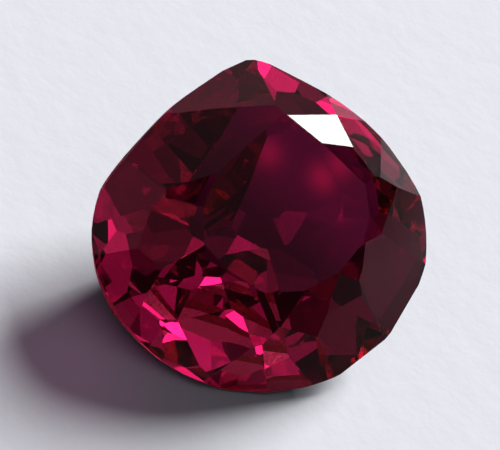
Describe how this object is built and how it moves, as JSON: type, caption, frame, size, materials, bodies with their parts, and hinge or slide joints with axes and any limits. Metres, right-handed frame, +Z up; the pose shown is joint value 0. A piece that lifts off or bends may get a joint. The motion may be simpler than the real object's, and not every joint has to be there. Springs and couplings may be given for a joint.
{
  "type": "faceted ruby gemstone",
  "caption": "Loose polished ruby cut to a broad pear outline, with a flat table, a faceted crown, a thin girdle and a faceted pavilion that it lies on.",
  "frame": {"origin": "on the surface that the stone lies on, under the middle of its box", "axes": "+Z up; the stone lies on one pavilion facet, with its table facing up, towards +X and -Y, and the point of the pear towards -X and +Y"},
  "size_m": [0.0106, 0.01, 0.0066],
  "materials": {
    "ruby": "polished, transparent deep red"
  },
  "bodies": {
    "root": {"ruby": "ruby"}
  },
  "joints": []
}
